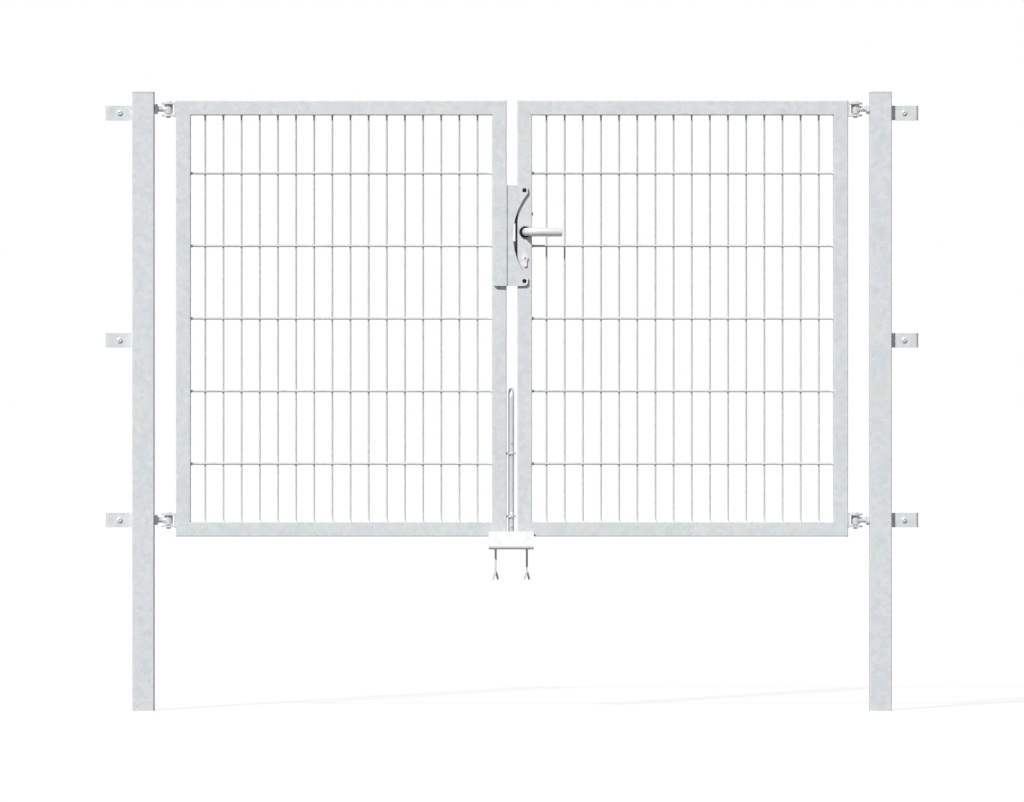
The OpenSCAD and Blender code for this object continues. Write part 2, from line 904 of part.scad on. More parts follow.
// Round rod with a handle bent to the back, a padlock hole and two stop pins
module drop_bolt() {
    pin_half = bolt_d / 2 + stop_pin_out;
    color([0.82, 0.83, 0.84]) {
        difference() {
            union() {
                translate([bolt_x, 0, bolt_tip_z + bolt_chamfer])
                    cylinder(d = bolt_d, h = bolt_bend_z - bolt_tip_z - bolt_chamfer);
                translate([bolt_x, 0, bolt_tip_z])
                    cylinder(d1 = bolt_d - 2 * bolt_chamfer, d2 = bolt_d, h = bolt_chamfer);
                translate([bolt_x, bolt_bend, bolt_bend_z]) rotate([90, 0, -90])
                    rotate_extrude(angle = 90) translate([bolt_bend, 0]) circle(d = bolt_d);
                rod_along_y(bolt_x, bolt_bend_z + bolt_bend, bolt_d, bolt_bend, bolt_bend + bolt_grip);
            }
            rod_along_y(bolt_x, padlock_z, padlock_hole, -bolt_d, bolt_d);
        }
        rod_along_y(bolt_x, drop_pin_z, stop_pin_d, -pin_half, pin_half);
        rod_along_y(bolt_x, lift_pin_z, stop_pin_d, -pin_half, pin_half);
    }
}

// Latch and dead bolt as blocks from x1 to x2, grown by play
module latch_blocks(x1, x2, play) {
    translate([x1, -latch_t / 2 - play, handle_z + latch_rise - latch_h / 2 - play])
        cube([x2 - x1, latch_t + 2 * play, latch_h + 2 * play]);
    translate([x1, -latch_t / 2 - play, handle_z - deadbolt_drop - deadbolt_h / 2 - play])
        cube([x2 - x1, latch_t + 2 * play, deadbolt_h + 2 * play]);
}

// Face plate of the lock, on the right lock stile's side
module lock_forend() {
    color([0.35, 0.35, 0.36])
        difference() {
            translate([lock_edge_x - forend_t, 0, stop_z])
                rotate([0, 90, 0]) linear_extrude(forend_t)
                    rounded_rect(forend_h, forend_w, forend_corner);
            latch_blocks(lock_edge_x - forend_t - cut, lock_edge_x + cut, lock_play);
        }
}

// Latch with a slanted nose, and square dead bolt, that stand out of the face plate
module lock_latch() {
    nose_x = lock_edge_x - forend_t - latch_out;
    color([0.70, 0.71, 0.72])
        difference() {
            latch_blocks(nose_x, lock_edge_x + latch_in, 0);
            translate([nose_x, -latch_t / 2, handle_z + latch_rise]) rotate(45)
                cube([latch_t, latch_t, 2 * latch_h], center = true);
        }
}

// Profile of the lock cylinder, grown by play
module cylinder_outline(play) {
    stem_len = cylinder_h - cylinder_d / 2 - cylinder_stem / 2;
    circle(d = cylinder_d + 2 * play);
    translate([-cylinder_stem / 2 - play, -stem_len]) square([cylinder_stem + 2 * play, stem_len]);
    translate([0, -stem_len]) circle(d = cylinder_stem + 2 * play);
}

module lock_cylinder() {
    half = tube_half + cylinder_out;
    color([0.85, 0.85, 0.83])
        translate([handle_x, 0, handle_z - cylinder_drop])
            difference() {
                facing_front(-half, half) cylinder_outline(0);
                for (s = [-1, 1])
                    translate([0, s * half, -keyway_drop])
                        cube([keyway_w, 2 * keyway_depth, keyway_h], center = true);
            }
}

// Round rose of a handle on the front or the back of the stile
module rose(s) {
    translate([handle_x, s * tube_half, handle_z]) rotate([-90 * s, 0, 0])
        difference() {
            cylinder(d = rose_d, h = rose_t);
            translate([0, 0, -cut]) cylinder(d = neck_d + 2 * neck_play, h = rose_t + 2 * cut);
        }
}

module handle_roses() {
    color([0.08, 0.08, 0.08])
        for (s = [-1, 1]) rose(s);
}

// Lever handle at the front: a collar in the rose and a round rod that bends into a straight grip
module lever() {
    rod_start = -tube_half - rose_t - neck_gap;
    bend_x = grip_shift + grip_bend;
    grip_y = -tube_half - grip_reach;
    translate([handle_x, 0, handle_z]) {
        difference() {
            rod_along_y(0, 0, neck_d, rod_start - overlap, -tube_half - neck_gap);
            translate([-spindle_side / 2 - pin_play, -tube_half - rose_t, -spindle_side / 2 - pin_play])
                cube([spindle_side + 2 * pin_play, rose_t + cut, spindle_side + 2 * pin_play]);
        }
        rod_along_y(grip_shift, 0, grip_d, grip_y + grip_bend, rod_start);
        translate([bend_x, grip_y + grip_bend, 0]) rotate(180)
            rotate_extrude(angle = 90) translate([grip_bend, 0]) circle(d = grip_d);
        translate([bend_x, grip_y, 0]) rotate([0, 90, 0]) cylinder(d = grip_d, h = grip_len - bend_x);
    }
}

module front_lever() {
    color([0.92, 0.92, 0.93]) lever();
}

module rear_lever() {
    color([0.92, 0.92, 0.93]) mirror([0, 1, 0]) lever();
}

// Square spindle that joins the two levers
module handle_spindle() {
    half = tube_half + rose_t;
    color([0.60, 0.60, 0.61])
        translate([handle_x - spindle_side / 2, -half, handle_z - spindle_side / 2])
            cube([spindle_side, 2 * half, spindle_side]);
}

left_post();
right_post();
left_post_cap();
right_post_cap();
top_left_eye_bolt();
low_left_eye_bolt();
top_right_eye_bolt();
low_right_eye_bolt();
left_hinge_nuts();
right_hinge_nuts();
left_fence_lugs();
right_fence_lugs();
left_clamp_plates();
right_clamp_plates();
left_clamp_screws();
right_clamp_screws();
ground_stop();
ground_anchors();
left_hinge_stile();
left_lock_stile();
left_top_rail();
left_bottom_rail();
left_mesh();
top_left_clevis();
low_left_clevis();
left_hinge_pins();
stop_plate();
stop_buffers();
bolt_guides();
drop_bolt();
right_hinge_stile();
right_lock_stile();
right_top_rail();
right_bottom_rail();
right_mesh();
top_right_clevis();
low_right_clevis();
right_hinge_pins();
lock_forend();
lock_latch();
lock_cylinder();
handle_roses();
front_lever();
rear_lever();
handle_spindle();
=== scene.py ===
# Looks of a double mesh gate: finishes, round wires, threads, weld beads, light and camera.
# All lengths are in metres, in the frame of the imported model: X to the right, Y to the back, Z up.
import json
import math
import random

import bmesh
import bpy
from mathutils import Matrix, Vector


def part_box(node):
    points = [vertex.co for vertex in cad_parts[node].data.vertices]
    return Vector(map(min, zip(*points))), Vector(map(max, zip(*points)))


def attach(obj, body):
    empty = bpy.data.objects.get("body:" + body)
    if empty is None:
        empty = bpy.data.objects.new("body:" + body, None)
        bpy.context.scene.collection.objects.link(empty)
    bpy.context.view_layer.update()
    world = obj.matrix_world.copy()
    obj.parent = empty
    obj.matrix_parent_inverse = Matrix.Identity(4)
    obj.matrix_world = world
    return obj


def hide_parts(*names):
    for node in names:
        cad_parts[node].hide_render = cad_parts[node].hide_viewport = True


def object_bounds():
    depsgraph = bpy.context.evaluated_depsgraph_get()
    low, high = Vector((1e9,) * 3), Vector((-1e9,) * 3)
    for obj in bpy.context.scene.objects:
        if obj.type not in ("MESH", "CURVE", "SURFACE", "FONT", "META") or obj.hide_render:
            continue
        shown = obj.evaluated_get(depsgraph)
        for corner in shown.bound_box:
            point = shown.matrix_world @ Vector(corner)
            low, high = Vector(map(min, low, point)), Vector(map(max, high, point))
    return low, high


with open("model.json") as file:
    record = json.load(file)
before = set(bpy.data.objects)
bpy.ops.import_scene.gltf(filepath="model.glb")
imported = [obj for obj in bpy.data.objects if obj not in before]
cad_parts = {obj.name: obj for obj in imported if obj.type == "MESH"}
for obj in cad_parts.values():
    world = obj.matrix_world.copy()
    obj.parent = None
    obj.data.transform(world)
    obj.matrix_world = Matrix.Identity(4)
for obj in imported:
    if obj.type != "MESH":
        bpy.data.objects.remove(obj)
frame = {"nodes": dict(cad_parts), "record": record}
CAD_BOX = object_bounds()
NODES = frame["nodes"]

# Photograph: its size in pixels, its scale and the row of the posts' feet
PHOTO_W, PHOTO_H = 1024, 802
PIXELS_PER_M = 363.0
FOOT_ROW = 710.6
CAMERA_DISTANCE = 22.0
SENSOR_W = 36.0

# Light: the key lamp's direction, its share on a face that looks to the front, its width, and the fill
KEY_DIRECTION = Vector((0.6, 1.0, -0.9)).normalized()
KEY_SHARE = 0.785
KEY_ANGLE = math.radians(2.5)
FILL = 0.12

# Floor: half its side, its tone under the lamp and how white it looks to the camera
FLOOR_HALF = 70.0
FLOOR_TONE = 0.15
FLOOR_GLOW = 0.90

# Wire mesh, and the half sizes and place of the weld at a crossing
WIRE_R = 0.0025
ROD_R = 0.0030
WIRE_PITCH = 0.050
ROD_PITCH = 0.200
WELD_SINK = 0.0004
WIRE_SIDES = 12
NUGGET_SIZE = (0.0036, 0.0013, 0.0030)
NUGGET_SHARE = 0.47

# Frame, posts, fence lugs, bolt guides and ground anchors
TUBE = 0.040
FLAT_HALF = 0.0175
POST_HALF = 0.030
POST_WALL = 0.002
LUG_H = 0.040
LUG_T = 0.005
MIDDLE_LUG_Z = 1.020
GUIDE_T = 0.005
ANCHOR_PITCH = 0.086
ANCHOR_T = 0.006

# Weld beads: width and height of each kind, and the length of a ripple
MITRE_BEAD = (0.003, 0.0004)
CORNER_BEAD = (0.005, 0.0014)
GUIDE_BEAD = (0.0045, 0.0014)
HOOD_BEAD = (0.003, 0.0010)
PLATE_BEAD = (0.005, 0.0015)
WIDE_BEAD = (0.006, 0.0018)
RIPPLE = 0.0018
STITCH = 0.030

# Hinges
SHANK_R = 0.008
SHANK_PITCH = 0.002
EYE_R = 0.0115
EYE_H = 0.025
EYE_BORE = 0.0061
EYE_SHIFT = 0.0012
NECK_OUT = 0.0155
PIN_R = 0.006
CLEVIS_HALF = 0.019
HINGE_NUT_FLATS = 0.024
HINGE_NUT_T = 0.010
WELDED_NUT_T = 0.017

# Clamp screws and their nuts
SCREW_HEAD_R = 0.008
SCREW_SOCKET = 0.005
SCREW_R = 0.004
SCREW_PITCH = 0.00125
SCREW_NUT_FLATS = 0.013
SCREW_NUT_T = 0.0065
SCREW_NUT_BORE = 0.0038

# Lock: the cylinder's round top, its stem, and half the keyway's width and height
CYLINDER_R = 0.0085
STEM_HALF = 0.005
STEM_DOWN = 0.0195
KEYWAY_HALF = (0.0014, 0.0038)
CASE_SCREW_UP = 0.050


def box_middle(node):
    low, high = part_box(node)
    return (low + high) / 2


def facing(origin, direction):
    """Place whose Z axis points along direction."""
    turn = Vector(direction).to_track_quat("Z", "Y").to_matrix().to_4x4()
    return Matrix.Translation(Vector(origin)) @ turn


def round_point(place, radius, angle, height):
    """Point at an angle about the Z axis of place."""
    return place @ Vector((radius * math.cos(angle), radius * math.sin(angle), height))


def hexagon(flats):
    """Radius of a hexagon at an angle."""
    def radius(angle):
        part = (angle + math.pi / 6) % (math.pi / 3) - math.pi / 6
        return flats / 2 / math.cos(part)
    return radius


def upright_slot(half_w, half_h):
    """Radius of an upright slot at an angle."""
    def radius(angle):
        return min(half_w / max(abs(math.cos(angle)), 1e-6), half_h / max(abs(math.sin(angle)), 1e-6))
    return radius


class Shape:
    """Vertices and faces of one piece, gathered part by part."""

    def __init__(self):
        self.verts = []
        self.faces = []

    def add(self, verts, faces):
        start = len(self.verts)
        self.verts.extend(verts)
        self.faces.extend([start + i for i in face] for face in faces)

    def loft(self, rings, closed=False):
        """Skin over rings with the same number of points each. An open loft gets two end faces."""
        count = len(rings[0])
        verts = [point for ring in rings for point in ring]
        faces = []
        last = len(rings) if closed else len(rings) - 1
        for row in range(last):
            low, high = row * count, ((row + 1) % len(rings)) * count
            for i in range(count):
                j = (i + 1) % count
                faces.append([low + i, low + j, high + j, high + i])
        if not closed:
            faces.append(list(reversed(range(count))))
            faces.append(list(range(len(verts) - count, len(verts))))
        self.add(verts, faces)

    def turned(self, place, profile, sides=32, closed=False):
        """Loft about the Z axis of place. A profile point is (radius or function of the angle, height)."""
        rings = []
        for radius, height in profile:
            ring = []
            for i in range(sides):
                angle = 2 * math.pi * i / sides
                r = radius(angle) if callable(radius) else radius
                ring.append(round_point(place, r, angle, height))
            rings.append(ring)
        self.loft(rings, closed)

    def piece(self, name, body, slot, replaced=(), sharp=35):
        """Makes the piece, with its slot's finish. Edges beyond the sharp angle stay sharp."""
        mesh = bpy.data.meshes.new(name)
        mesh.from_pydata([tuple(v) for v in self.verts], [], self.faces)
        cleaned = bmesh.new()
        cleaned.from_mesh(mesh)
        bmesh.ops.remove_doubles(cleaned, verts=cleaned.verts, dist=1e-7)
        bmesh.ops.recalc_face_normals(cleaned, faces=cleaned.faces)
        cleaned.to_mesh(mesh)
        cleaned.free()
        mesh.polygons.foreach_set("use_smooth", [True] * len(mesh.polygons))
        mesh.set_sharp_from_angle(angle=math.radians(sharp))
        mesh.materials.append(MATERIALS[slot])
        obj = bpy.data.objects.new(name, mesh)
        bpy.context.scene.collection.objects.link(obj)
        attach(obj, body)
        if replaced:
            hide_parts(*replaced)


# Materials

def node_of(tree, kind, **inputs):
    node = tree.nodes.new(kind)
    for key, value in inputs.items():
        node.inputs[key].default_value = value
    return node


def surface(name, color, metallic, roughness):
    """Material with one Principled shader and plain sockets."""
    material = bpy.data.materials.new(name)
    material.use_nodes = True
    shader = material.node_tree.nodes["Principled BSDF"]
    shader.inputs["Base Color"].default_value = (*color, 1)
    shader.inputs["Metallic"].default_value = metallic
    shader.inputs["Roughness"].default_value = roughness
    return material, material.node_tree, shader


def object_coords(tree):
    return tree.nodes.new("ShaderNodeTexCoord").outputs["Object"]


def math_node(tree, operation, a, b):
    node = tree.nodes.new("ShaderNodeMath")
    node.operation = operation
    for socket, value in zip(node.inputs, (a, b)):
        if isinstance(value, (int, float)):
            socket.default_value = value
        else:
            tree.links.new(value, socket)
    return node.outputs[0]


def total(tree, first, *others):
    """Sum of values and numbers."""
    for value in others:
        first = math_node(tree, "ADD", first, value)
    return first


def spread(tree, value, low, high):
    """Maps a value in 0..1 to low..high."""
    node = tree.nodes.new("ShaderNodeMapRange")
    node.inputs["To Min"].default_value = low
    node.inputs["To Max"].default_value = high
    tree.links.new(value, node.inputs["Value"])
    return node.outputs["Result"]


def spread_from(tree, value, low, high):
    """Maps a value in low..high to 0..1."""
    node = tree.nodes.new("ShaderNodeMapRange")
    node.inputs["From Min"].default_value = low
    node.inputs["From Max"].default_value = high
    tree.links.new(value, node.inputs["Value"])
    return node.outputs["Result"]


def sway(tree, value, amount):
    """Maps a value in 0..1 to minus amount..amount."""
    return spread(tree, value, -amount, amount)


def noise(tree, coords, scale, detail):
    node = node_of(tree, "ShaderNodeTexNoise", Scale=scale, Detail=detail, Roughness=0.55)
    tree.links.new(coords, node.inputs["Vector"])
    return node.outputs["Fac"]


def scaled_color(tree, color, factor):
    """Colour times a brightness factor."""
    node = tree.nodes.new("ShaderNodeVectorMath")
    node.operation = "SCALE"
    if isinstance(color, tuple):
        node.inputs[0].default_value = color
    else:
        tree.links.new(color, node.inputs[0])
    tree.links.new(factor, node.inputs["Scale"])
    return node.outputs["Vector"]


def bump(tree, shader, height, strength, distance):
    node = node_of(tree, "ShaderNodeBump", Strength=strength, Distance=distance)
    tree.links.new(height, node.inputs["Height"])
    tree.links.new(node.outputs["Normal"], shader.inputs["Normal"])


def warped(tree, coords, cell):
    """Coordinates shifted by noise, so that the crystals' borders aren't straight."""
    warp = node_of(tree, "ShaderNodeTexNoise", Scale=0.35 / cell, Detail=3.0)
    tree.links.new(coords, warp.inputs["Vector"])
    offset = tree.nodes.new("ShaderNodeVectorMath")
    offset.operation = "MULTIPLY_ADD"
    tree.links.new(warp.outputs["Color"], offset.inputs[0])
    offset.inputs[1].default_value = (1.6 * cell,) * 3
    tree.links.new(coords, offset.inputs[2])
    return offset.outputs["Vector"]


def crystals(tree, coords, scale):
    """A random colour for each crystal, and two values of its own."""
    cells = node_of(tree, "ShaderNodeTexVoronoi", Scale=scale, Randomness=1.0)
    tree.links.new(coords, cells.inputs["Vector"])
    split = tree.nodes.new("ShaderNodeSeparateColor")
    tree.links.new(cells.outputs["Color"], split.inputs[0])
    return cells.outputs["Color"], split.outputs[0], split.outputs[1]


def galvanised(name, color, cell, contrast, metallic=0.12, roughness=0.46):
    """Zinc with a faint spangle: crystals that differ in tone, tint and gloss, and a few darker blots."""
    material, tree, shader = surface(name, color, metallic, roughness)
    coords = object_coords(tree)
    bent = warped(tree, coords, cell)
    hue, tone, shine = crystals(tree, bent, scale=1 / cell)
    fine_tone, fine_height = crystals(tree, bent, scale=2.6 / cell)[1:]
    clouds = noise(tree, coords, scale=7.0, detail=4.0)
    specks = noise(tree, coords, scale=420.0, detail=2.0)
    blots = spread_from(tree, noise(tree, coords, scale=190.0, detail=1.0), 0.66, 0.74)
    light = total(tree, sway(tree, tone, contrast), sway(tree, fine_tone, 0.5 * contrast),
                  sway(tree, clouds, 0.04), sway(tree, specks, 0.02), spread(tree, blots, 1.0, 0.88))
    tint = tree.nodes.new("ShaderNodeMix")
    tint.data_type = "RGBA"
    tint.inputs["Factor"].default_value = 0.035
    tint.inputs["A"].default_value = (*color, 1)
    tree.links.new(hue, tint.inputs["B"])
    toned = scaled_color(tree, tint.outputs["Result"], light)
    tree.links.new(toned, shader.inputs["Base Color"])
    gloss = total(tree, spread(tree, shine, -0.08, 0.10), roughness, sway(tree, specks, 0.04))
    tree.links.new(gloss, shader.inputs["Roughness"])
    relief = total(tree, spread(tree, fine_height, 0.0, 0.5), specks)
    bump(tree, shader, relief, strength=0.10, distance=0.0003)
    return material


def worked_metal(name, color, metallic, roughness, stretch=(1, 1, 1)):
    """Plated or anodised metal with fine grain, drawn out along the axis of the smallest stretch value."""
    material, tree, shader = surface(name, color, metallic, roughness)
    coords = object_coords(tree)
    drawn = tree.nodes.new("ShaderNodeVectorMath")
    drawn.operation = "MULTIPLY"
    drawn.inputs[1].default_value = stretch
    tree.links.new(coords, drawn.inputs[0])
    fine = noise(tree, drawn.outputs["Vector"], scale=900.0, detail=2.0)
    broad = noise(tree, coords, scale=35.0, detail=3.0)
    light = total(tree, sway(tree, broad, 0.04), spread(tree, fine, 0.96, 1.04))
    tree.links.new(scaled_color(tree, color, light), shader.inputs["Base Color"])
    gloss = total(tree, sway(tree, fine, 0.06), roughness)
    tree.links.new(gloss, shader.inputs["Roughness"])
    bump(tree, shader, fine, strength=0.05, distance=0.0001)
    return material


def moulded(name, color, roughness, grain, strength):
    """Moulded plastic or rubber with an even grain."""
    material, tree, shader = surface(name, color, 0.0, roughness)
    shader.inputs["Specular IOR Level"].default_value = 0.18
    coords = object_coords(tree)
    fine = noise(tree, coords, scale=grain, detail=2.0)
    broad = noise(tree, coords, scale=30.0, detail=3.0)
    light = total(tree, spread(tree, broad, 0.92, 1.08), sway(tree, fine, 0.03))
    tree.links.new(scaled_color(tree, color, light), shader.inputs["Base Color"])
    tree.links.new(spread(tree, fine, roughness - 0.06, roughness + 0.08), shader.inputs["Roughness"])
    bump(tree, shader, fine, strength, distance=0.0002)
    return material


MATERIALS = {
    "galvanised": galvanised(
        "galvanised_zinc", (0.700, 0.730, 0.745), cell=0.013, contrast=0.036),
    "galvanised_wire": galvanised(
        "galvanised_wire_zinc", (0.660, 0.675, 0.685), cell=0.012, contrast=0.050,
        metallic=0.08, roughness=0.42),
    "zinc_plated": worked_metal(
        "zinc_plate", (0.700, 0.705, 0.715), metallic=0.16, roughness=0.30),
    # Near-black steel: its colour paints the shade on the lock's forend, latch and dead bolt behind the
    # stop plate, in the keyways and on the case screw.
    "dark_steel": worked_metal(
        "painted_shade_steel", (0.030, 0.030, 0.032), metallic=0.30, roughness=0.50),
    "nickel": worked_metal(
        "nickel_plate", (0.900, 0.900, 0.890), metallic=0.20, roughness=0.26),
    "satin_aluminium": worked_metal(
        "anodised_aluminium", (0.805, 0.810, 0.830), metallic=0.18, roughness=0.32,
        stretch=(0.05, 1, 1)),
    "grey_plastic": moulded(
        "cap_plastic", (0.600, 0.605, 0.610), roughness=0.52, grain=1400.0, strength=0.12),
    "black_plastic": moulded(
        "rose_plastic", (0.010, 0.010, 0.011), roughness=0.42, grain=1600.0, strength=0.12),
    "black_rubber": moulded(
        "buffer_rubber", (0.005, 0.005, 0.005), roughness=0.68, grain=900.0, strength=0.20),
}
# Brighter copy of the galvanised zinc: painted light for the ground stop's sloped lip, which catches the
# lamp.
PAINTED_LIGHT_ZINC = galvanised("painted_light_galvanised_zinc", (0.795, 0.805, 0.810), cell=0.013, contrast=0.030)


def dress_nodes():
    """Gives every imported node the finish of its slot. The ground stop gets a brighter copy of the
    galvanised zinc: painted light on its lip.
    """
    for part in frame["record"]["subparts"]:
        slots = NODES[part["node"]].data.materials
        slots.clear()
        painted_light_stop = part["node"] == "ground_stop"
        slots.append(PAINTED_LIGHT_ZINC if painted_light_stop else MATERIALS[part["material_slot"]])


# Wire mesh

def wire(shape, start, end, radius):
    """Round wire whose ends flare into the small welds at the frame."""
    start, end = Vector(start), Vector(end)
    length = (end - start).length
    reach = 2.2 * radius
    flare = [(1.7 * radius, 0.0), (1.35 * radius, 0.35 * reach),
             (1.08 * radius, 0.7 * reach), (radius, reach)]
    mirrored = [(r, length - h) for r, h in reversed(flare)]
    shape.turned(facing(start, end - start), flare + mirrored, WIRE_SIDES)


def nugget(shape, centre):
    """Squashed ball of weld metal."""
    levels, around = 5, 10
    rings = []
    for i in range(1, levels):
        a = math.pi * i / levels
        ring = []
        for k in range(around):
            b = 2 * math.pi * k / around
            ring.append(Vector(centre) + Vector((
                NUGGET_SIZE[0] * math.sin(a) * math.cos(b),
                NUGGET_SIZE[1] * math.cos(a),
                NUGGET_SIZE[2] * math.sin(a) * math.sin(b))))
        rings.append(ring)
    shape.loft(rings)


def wire_mesh(side):
    """Upright wires between pairs of rods, with a weld nugget at each crossing."""
    node = side + "_mesh"
    low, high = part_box(node)
    rod_y = WIRE_R + ROD_R - WELD_SINK
    wires = int((high.x - low.x) / WIRE_PITCH + 1e-6)
    rods = int((high.z - low.z) / ROD_PITCH + 1e-6)
    first_x = (low.x + high.x) / 2 - (wires - 1) * WIRE_PITCH / 2
    first_z = (low.z + high.z) / 2 - (rods - 1) * ROD_PITCH / 2
    shape = Shape()
    for i in range(wires):
        x = first_x + i * WIRE_PITCH
        wire(shape, (x, 0, low.z), (x, 0, high.z), WIRE_R)
    for j in range(rods):
        z = first_z + j * ROD_PITCH
        for y in (-rod_y, rod_y):
            wire(shape, (low.x, y, z), (high.x, y, z), ROD_R)
            for i in range(wires):
                nugget(shape, (first_x + i * WIRE_PITCH, NUGGET_SHARE * y, z))
    shape.piece(side + "_wire_mesh", side + "_leaf", "galvanised_wire", [node])


# Weld beads

def bead_path(shape, start, end, out, bead, rng):
    """Rippled half-round bead from start to end that stands proud along out."""
    width, height = bead
    start, end, out = Vector(start), Vector(end), Vector(out).normalized()
    run = end - start
    side = run.normalized().cross(out)
    rows = max(6, int(run.length / (RIPPLE / 2)))
    around = 7
    sink = 0.4 * height
    rings = []
    for i in range(rows + 1):
        s = i / rows
        end_fade = min(1.0, math.sqrt(max(0.0, min(s, 1 - s)) * rows / 4) + 0.15)
        wave = 1 + (0.16 if i % 2 else -0.10) + rng.uniform(-0.07, 0.07)
        h = height * end_fade * wave
        w = width / 2 * end_fade * (1 + rng.uniform(-0.08, 0.08))
        middle = start + run * s - out * sink
        ring = []
        for k in range(around):
            a = math.pi * k / (around - 1)
            ring.append(middle + side * (w * math.cos(a)) + out * ((h + sink) * math.sin(a)))
        rings.append(ring)
    shape.loft(rings)


def bead_across(shape, x, z, out, bead, rng):
    """Bead along Y, over the flat part of a tube's side."""
    bead_path(shape, (x, -FLAT_HALF, z), (x, FLAT_HALF, z), out, bead, rng)


def leaf_welds(side):
    """Beads at a frame's outer and inner corners, above and below its clevises, and on what it carries."""
    rng = random.Random(side)
    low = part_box(side + "_bottom_rail")[0]
    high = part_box(side + "_top_rail")[1]
    shape = Shape()
    for x, sx in ((low.x, 1), (high.x, -1)):
        for z, sz in ((low.z, 1), (high.z, -1)):
            bead_across(shape, x, z, (-sx, 0, -sz), MITRE_BEAD, rng)
            bead_across(shape, x + sx * TUBE, z + sz * TUBE, (sx, 0, sz), CORNER_BEAD, rng)
    face = low.x if side == "left" else high.x
    out = -1 if side == "left" else 1
    for node in ("top_" + side + "_clevis", "low_" + side + "_clevis"):
        middle = box_middle(node).z
        for s in (-1, 1):
            bead_across(shape, face, middle + s * CLEVIS_HALF, (out, 0, s), WIDE_BEAD, rng)
    if side == "left":
        guide_welds(shape, rng)
        stop_welds(shape, rng)
    shape.piece(side + "_leaf_welds", side + "_leaf", "galvanised", sharp=60)


def guide_welds(shape, rng):
    """Fillets above and below each bolt guide, on the left lock stile's side."""
    low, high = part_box("bolt_guides")
    for z, s in ((low.z, -1), (low.z + GUIDE_T, 1), (high.z - GUIDE_T, -1), (high.z, 1)):
        bead_path(shape, (low.x, 0.8 * low.y, z), (low.x, 0.8 * high.y, z), (1, 0, s), GUIDE_BEAD, rng)


def stop_welds(shape, rng):
    """Stitches behind the stop plate's leg and beside its hood."""
    low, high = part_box("stop_plate")
    height = high.z - low.z
    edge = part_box("left_lock_stile")[1].x
    front = -TUBE / 2
    for share in (0.08, 0.42, 0.78):
        z = low.z + share * height
        bead_path(shape, (edge, high.y, z), (edge, high.y, z + STITCH), (1, 1, 0), PLATE_BEAD, rng)
    for share in (0.12, 0.80):
        z = low.z + share * height
        bead_path(shape, (low.x, front, z), (low.x, front, z + 0.6 * STITCH), (-1, -1, 0), HOOD_BEAD, rng)


def lug_heights(side):
    low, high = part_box(side + "_fence_lugs")
    return high.z - LUG_H / 2, MIDDLE_LUG_Z, low.z + LUG_H / 2


def post_welds(side):
    """Fillets in front of and behind each fence lug."""
    rng = random.Random(side + " post")
    out = -1 if side == "left" else 1
    face = box_middle(side + "_post").x + out * POST_HALF
    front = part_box(side + "_fence_lugs")[0].y
    half = 0.45 * LUG_H
    shape = Shape()
    for z in lug_heights(side):
        for y, s in ((front, -1), (front + LUG_T, 1)):
            bead_path(shape, (face, y, z - half), (face, y, z + half), (out, s, 0), PLATE_BEAD, rng)
    shape.piece(side + "_post_welds", "root", "galvanised", sharp=60)


def ground_welds():
    """Fillets where the anchor legs meet the ground stop's underside."""
    rng = random.Random("ground")
    low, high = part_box("ground_anchors")
    stop_low, stop_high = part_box("ground_stop")
    middle_x = (stop_low.x + stop_high.x) / 2
    margin = 0.0015
    front, back = low.y + margin, high.y - margin
    shape = Shape()
    for s in (-1, 1):
        for t in (-1, 1):
            x = middle_x + s * ANCHOR_PITCH / 2 + t * ANCHOR_T / 2
            bead_path(shape, (x, front, high.z), (x, back, high.z), (t, 0, -1), WIDE_BEAD, rng)
    shape.piece("ground_stop_welds", "root", "galvanised", sharp=60)


# Hinges, nuts and screws

def thread(shape, place, length, radius, pitch):
    """Screw thread along place's Z axis."""
    sides = 24
    depth = 0.55 * pitch
    rows = int(length / pitch * 6)
    rings = []
    for i in range(rows + 1):
        height = length * i / rows
        ring = []
        for k in range(sides):
            angle = 2 * math.pi * k / sides
            phase = (height / pitch - k / sides) % 1.0
            crest = min(1.0, 2.6 * abs(phase - 0.5))
            end_fade = min(1.0, min(height, length - height) / pitch + 0.25)
            ring.append(round_point(place, radius - depth * (1 - crest * end_fade), angle, height))
        rings.append(ring)
    shape.loft(rings)


def hex_nut(shape, place, flats, height, bore):
    """Nut with chamfered corners, from place's origin along its Z axis."""
    sides = 36
    angles = [2 * math.pi * i / sides for i in range(sides)]
    corner = hexagon(flats)
    rim = 0.475 * flats
    slope = math.tan(math.radians(30))

    def rim_ring(z):
        return [round_point(place, rim, angle, z) for angle in angles]

    def corner_ring(level, way):
        return [round_point(place, corner(angle), angle, level + way * (corner(angle) - rim) * slope)
                for angle in angles]

    rings = [rim_ring(0.0), corner_ring(0.0, 1), corner_ring(height, -1), rim_ring(height)]
    mouth, chamfer = 1.12 * bore, 0.12 * bore
    for r, z in ((mouth, height), (bore, height - chamfer), (bore, chamfer), (mouth, 0.0)):
        rings.append([round_point(place, r, angle, z) for angle in angles])
    shape.loft(rings, closed=True)


def hinge_set(side):
    """Eye bolts, their nuts and the headed pins of one side."""
    out = 1 if side == "left" else -1
    face_x = box_middle(side + "_post").x + out * POST_HALF
    inner_x = face_x - out * (POST_WALL + WELDED_NUT_T)
    bore = 0.94 * SHANK_R
    nuts, pins = Shape(), Shape()
    for height in ("top", "low"):
        clevis_z = box_middle(height + "_" + side + "_clevis").z
        z = clevis_z + EYE_SHIFT
        eye_x = eye_bolt(height + "_" + side + "_eye_bolt", out, z)
        hex_nut(nuts, facing((face_x, 0, z), (out, 0, 0)), HINGE_NUT_FLATS, HINGE_NUT_T, bore)
        hex_nut(nuts, facing((inner_x, 0, z), (out, 0, 0)), HINGE_NUT_FLATS, WELDED_NUT_T, bore)
        pin(pins, (eye_x, 0, clevis_z))
    nuts.piece(side + "_nuts", "root", "zinc_plated", [side + "_hinge_nuts"])
    pins.piece(side + "_pins", side + "_leaf", "zinc_plated", [side + "_hinge_pins"])


